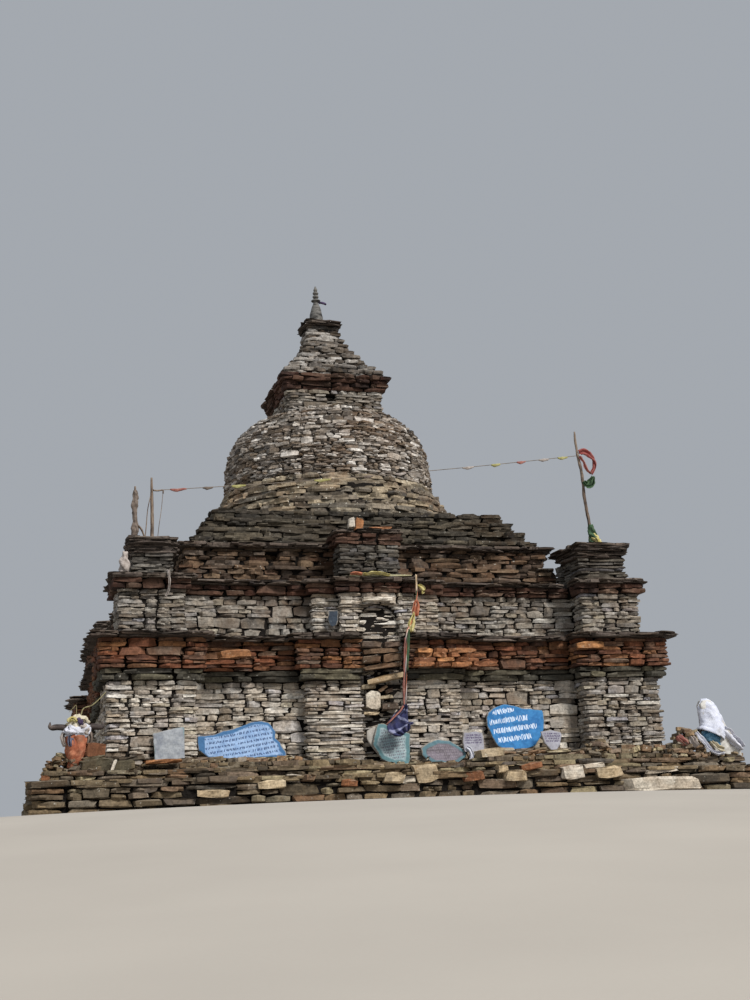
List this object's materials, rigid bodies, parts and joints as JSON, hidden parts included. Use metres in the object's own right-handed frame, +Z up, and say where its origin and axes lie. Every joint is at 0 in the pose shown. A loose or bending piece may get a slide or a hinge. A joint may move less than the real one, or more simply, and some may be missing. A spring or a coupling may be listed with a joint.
{
  "type": "dry-stone stupa",
  "caption": "Himalayan dry-stone stupa: rubble plinth, stepped storeys with red stone bands and slate caps, corner turrets, round dome, square neck, stepped roof and finial.",
  "frame": {"origin": "centre of the plinth's underside, at ground level", "axes": "+Z up, the doorway front faces -Y, +X to the right of someone who faces the front"},
  "size_m": [9.6, 9.6, 9.1],
  "materials": {
    "field_stone": "rough split field stone",
    "pale_rubble": "rough split stone, remains of whitewash",
    "red_stone": "rough split iron-stained stone",
    "brown_stone": "rough split stone",
    "terrace_stone": "rough split stone with grey lichen",
    "slate": "thin dark split slabs",
    "dome_stone": "small split stones",
    "finial_stone": "weathered, smooth",
    "blue_painted_stone": "flat blue paint, chipped",
    "grey_slab_stone": "smooth split slate",
    "ochre_painted_stone": "chalky orange wash",
    "weathered_wood": "bare, grey",
    "bone": "dry weathered bone and horn",
    "cord_cloth": "twisted faded cloth",
    "blue_cloth": "faded cotton",
    "white_cloth": "thin white scarf cloth over stone"
  },
  "bodies": {
    "root": {"plinth_base": "field_stone", "plinth_top_courses": "field_stone", "lower_wall": "pale_rubble", "lower_pier_front_left": "pale_rubble", "lower_pier_front_right": "pale_rubble", "lower_pier_back_right": "pale_rubble", "lower_pier_back_left": "pale_rubble", "doorway_pilaster_left": "pale_rubble", "doorway_pilaster_right": "pale_rubble", "doorway_filling": "pale_rubble", "lower_corbel": "pale_rubble", "red_band": "red_stone", "lower_cap_slabs": "slate", "second_wall": "pale_rubble", "second_pier_front_left": "pale_rubble", "second_pier_front_right": "pale_rubble", "second_pier_back_right": "pale_rubble", "second_pier_back_left": "pale_rubble", "second_front_bay": "pale_rubble", "second_cornice": "red_stone", "second_cap_slabs": "slate", "third_wall": "brown_stone", "third_cap_slabs": "slate", "turret_front_left": "pale_rubble", "turret_front_right": "pale_rubble", "turret_back_right": "pale_rubble", "turret_back_left": "pale_rubble", "dormer_front": "brown_stone", "dormer_right": "brown_stone", "dormer_back": "brown_stone", "dormer_left": "brown_stone", "terrace_1": "terrace_stone", "terrace_2": "terrace_stone", "terrace_3": "terrace_stone", "terrace_4": "terrace_stone", "dome_skirt": "brown_stone", "dome": "dome_stone", "harmika": "pale_rubble", "harmika_cornice": "brown_stone", "roof": "brown_stone", "roof_slab": "slate", "finial": "finial_stone", "pole_left_outer": "weathered_wood", "pole_left_inner": "weathered_wood", "pole_right": "weathered_wood", "flag_line": "cord_cloth", "streamer": "cord_cloth", "streamer_flag": "blue_cloth", "grey_slab": "grey_slab_stone", "long_blue_slab": "blue_painted_stone", "pointed_blue_slab": "blue_painted_stone", "oval_blue_slab": "blue_painted_stone", "round_blue_slab": "blue_painted_stone", "offering_post": "ochre_painted_stone", "horned_skull": "bone", "draped_stone": "white_cloth", "left_stone_heap": "field_stone", "right_stone_heap": "field_stone"}
  },
  "joints": []
}
